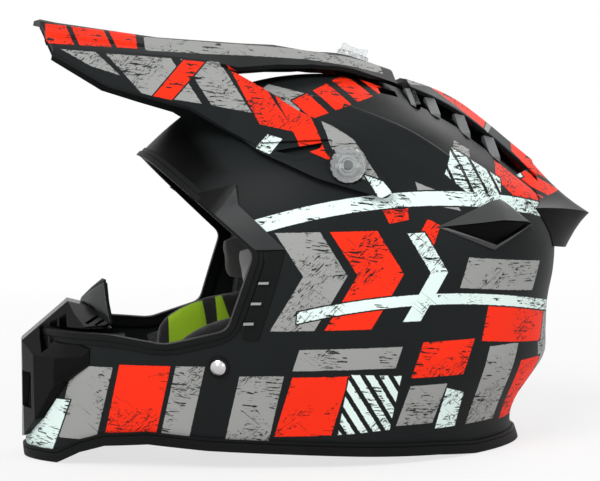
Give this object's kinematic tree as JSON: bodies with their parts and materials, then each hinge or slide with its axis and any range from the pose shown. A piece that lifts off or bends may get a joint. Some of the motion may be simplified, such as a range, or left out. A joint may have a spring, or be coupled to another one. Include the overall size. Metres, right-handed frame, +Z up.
{
  "type": "motocross helmet",
  "caption": "Off-road full-face helmet with open eye port, long tilting peak on three thumb screws, padded liner, vents and a D-ring chin strap.",
  "frame": {"origin": "on the ground plane that the base edge stands on, under the middle of the overall length and width", "axes": "+Z up, -X the way the helmet faces, +Y the wearer's right"},
  "size_m": [0.3754, 0.2416, 0.276],
  "materials": {
    "shell_black": "matte black with red, grey and white graphics",
    "peak_black": "matte black with red, grey and white graphics",
    "plastic_black": "satin black",
    "rubber_black": "satin",
    "foam": "matte expanded foam",
    "cloth_black": "brushed mesh cloth",
    "cloth_green": "brushed cloth, black at the edges",
    "webbing": "woven webbing",
    "wire": "black wire",
    "steel": "polished",
    "bushing": "turned",
    "brass_insert": "turned",
    "clear_plastic": "clear moulded plastic"
  },
  "bodies": {
    "helmet": {"shell": "shell_black", "eps_liner": "foam", "chin_eps": "foam", "cheek_eps_left": "foam", "cheek_eps_right": "foam", "crown_liner": "cloth_black", "cheek_pad_left": "cloth_green", "cheek_pad_right": "cloth_green", "neck_roll": "cloth_black", "port_edging": "rubber_black", "base_band": "rubber_black", "port_trim_left": "plastic_black", "port_trim_right": "plastic_black", "brow_trim_left": "plastic_black", "brow_trim_right": "plastic_black", "mouth_guard": "plastic_black", "mouth_mesh": "wire", "nose_guard": "rubber_black", "crown_spine": "plastic_black", "vent_mesh_left": "wire", "vent_mesh_right": "wire", "tail": "plastic_black", "rear_vent_left": "plastic_black", "rear_vent_right": "plastic_black", "insert_left": "brass_insert", "insert_right": "brass_insert", "insert_top": "brass_insert", "strap_left": "webbing", "strap_right": "webbing", "strap_plate_left": "steel", "strap_plate_right": "steel", "rivet_left": "steel", "rivet_right": "steel", "rivet_seal_left": "rubber_black", "rivet_seal_right": "rubber_black"},
    "peak": {"peak": "peak_black", "bush_left": "bushing", "bush_right": "bushing"},
    "screw_left": {"screw_left": "clear_plastic"},
    "screw_right": {"screw_right": "clear_plastic"},
    "screw_top": {"screw_top": "clear_plastic"},
    "ring_outer": {"ring_outer": "steel"},
    "ring_inner": {"ring_inner": "steel"}
  },
  "joints": [
    {"name": "peak_tilt", "type": "hinge", "parent": "helmet", "child": "peak", "pos_m": [0.00775, 0, 0.183], "axis": [0, 1, 0], "range_deg": [-2, 6]},
    {"name": "screw_left_turn", "type": "hinge", "parent": "helmet", "child": "screw_left", "pos_m": [0.00775, -0.112, 0.183], "axis": [0, -1, 0], "continuous": true},
    {"name": "screw_right_turn", "type": "hinge", "parent": "helmet", "child": "screw_right", "pos_m": [0.00775, 0.112, 0.183], "axis": [0, 1, 0], "continuous": true},
    {"name": "screw_top_turn", "type": "hinge", "parent": "helmet", "child": "screw_top", "pos_m": [0.02996, 0, 0.24938], "axis": [0.3173, 0, 0.9483], "continuous": true},
    {"name": "ring_outer_swing", "type": "hinge", "parent": "helmet", "child": "ring_outer", "pos_m": [-0.06925, 0.0344, 0.006], "axis": [-1, 0, 0], "range_deg": [0, 80]},
    {"name": "ring_inner_swing", "type": "hinge", "parent": "helmet", "child": "ring_inner", "pos_m": [-0.06925, 0.03, 0.006], "axis": [-1, 0, 0], "range_deg": [0, 80]}
  ]
}
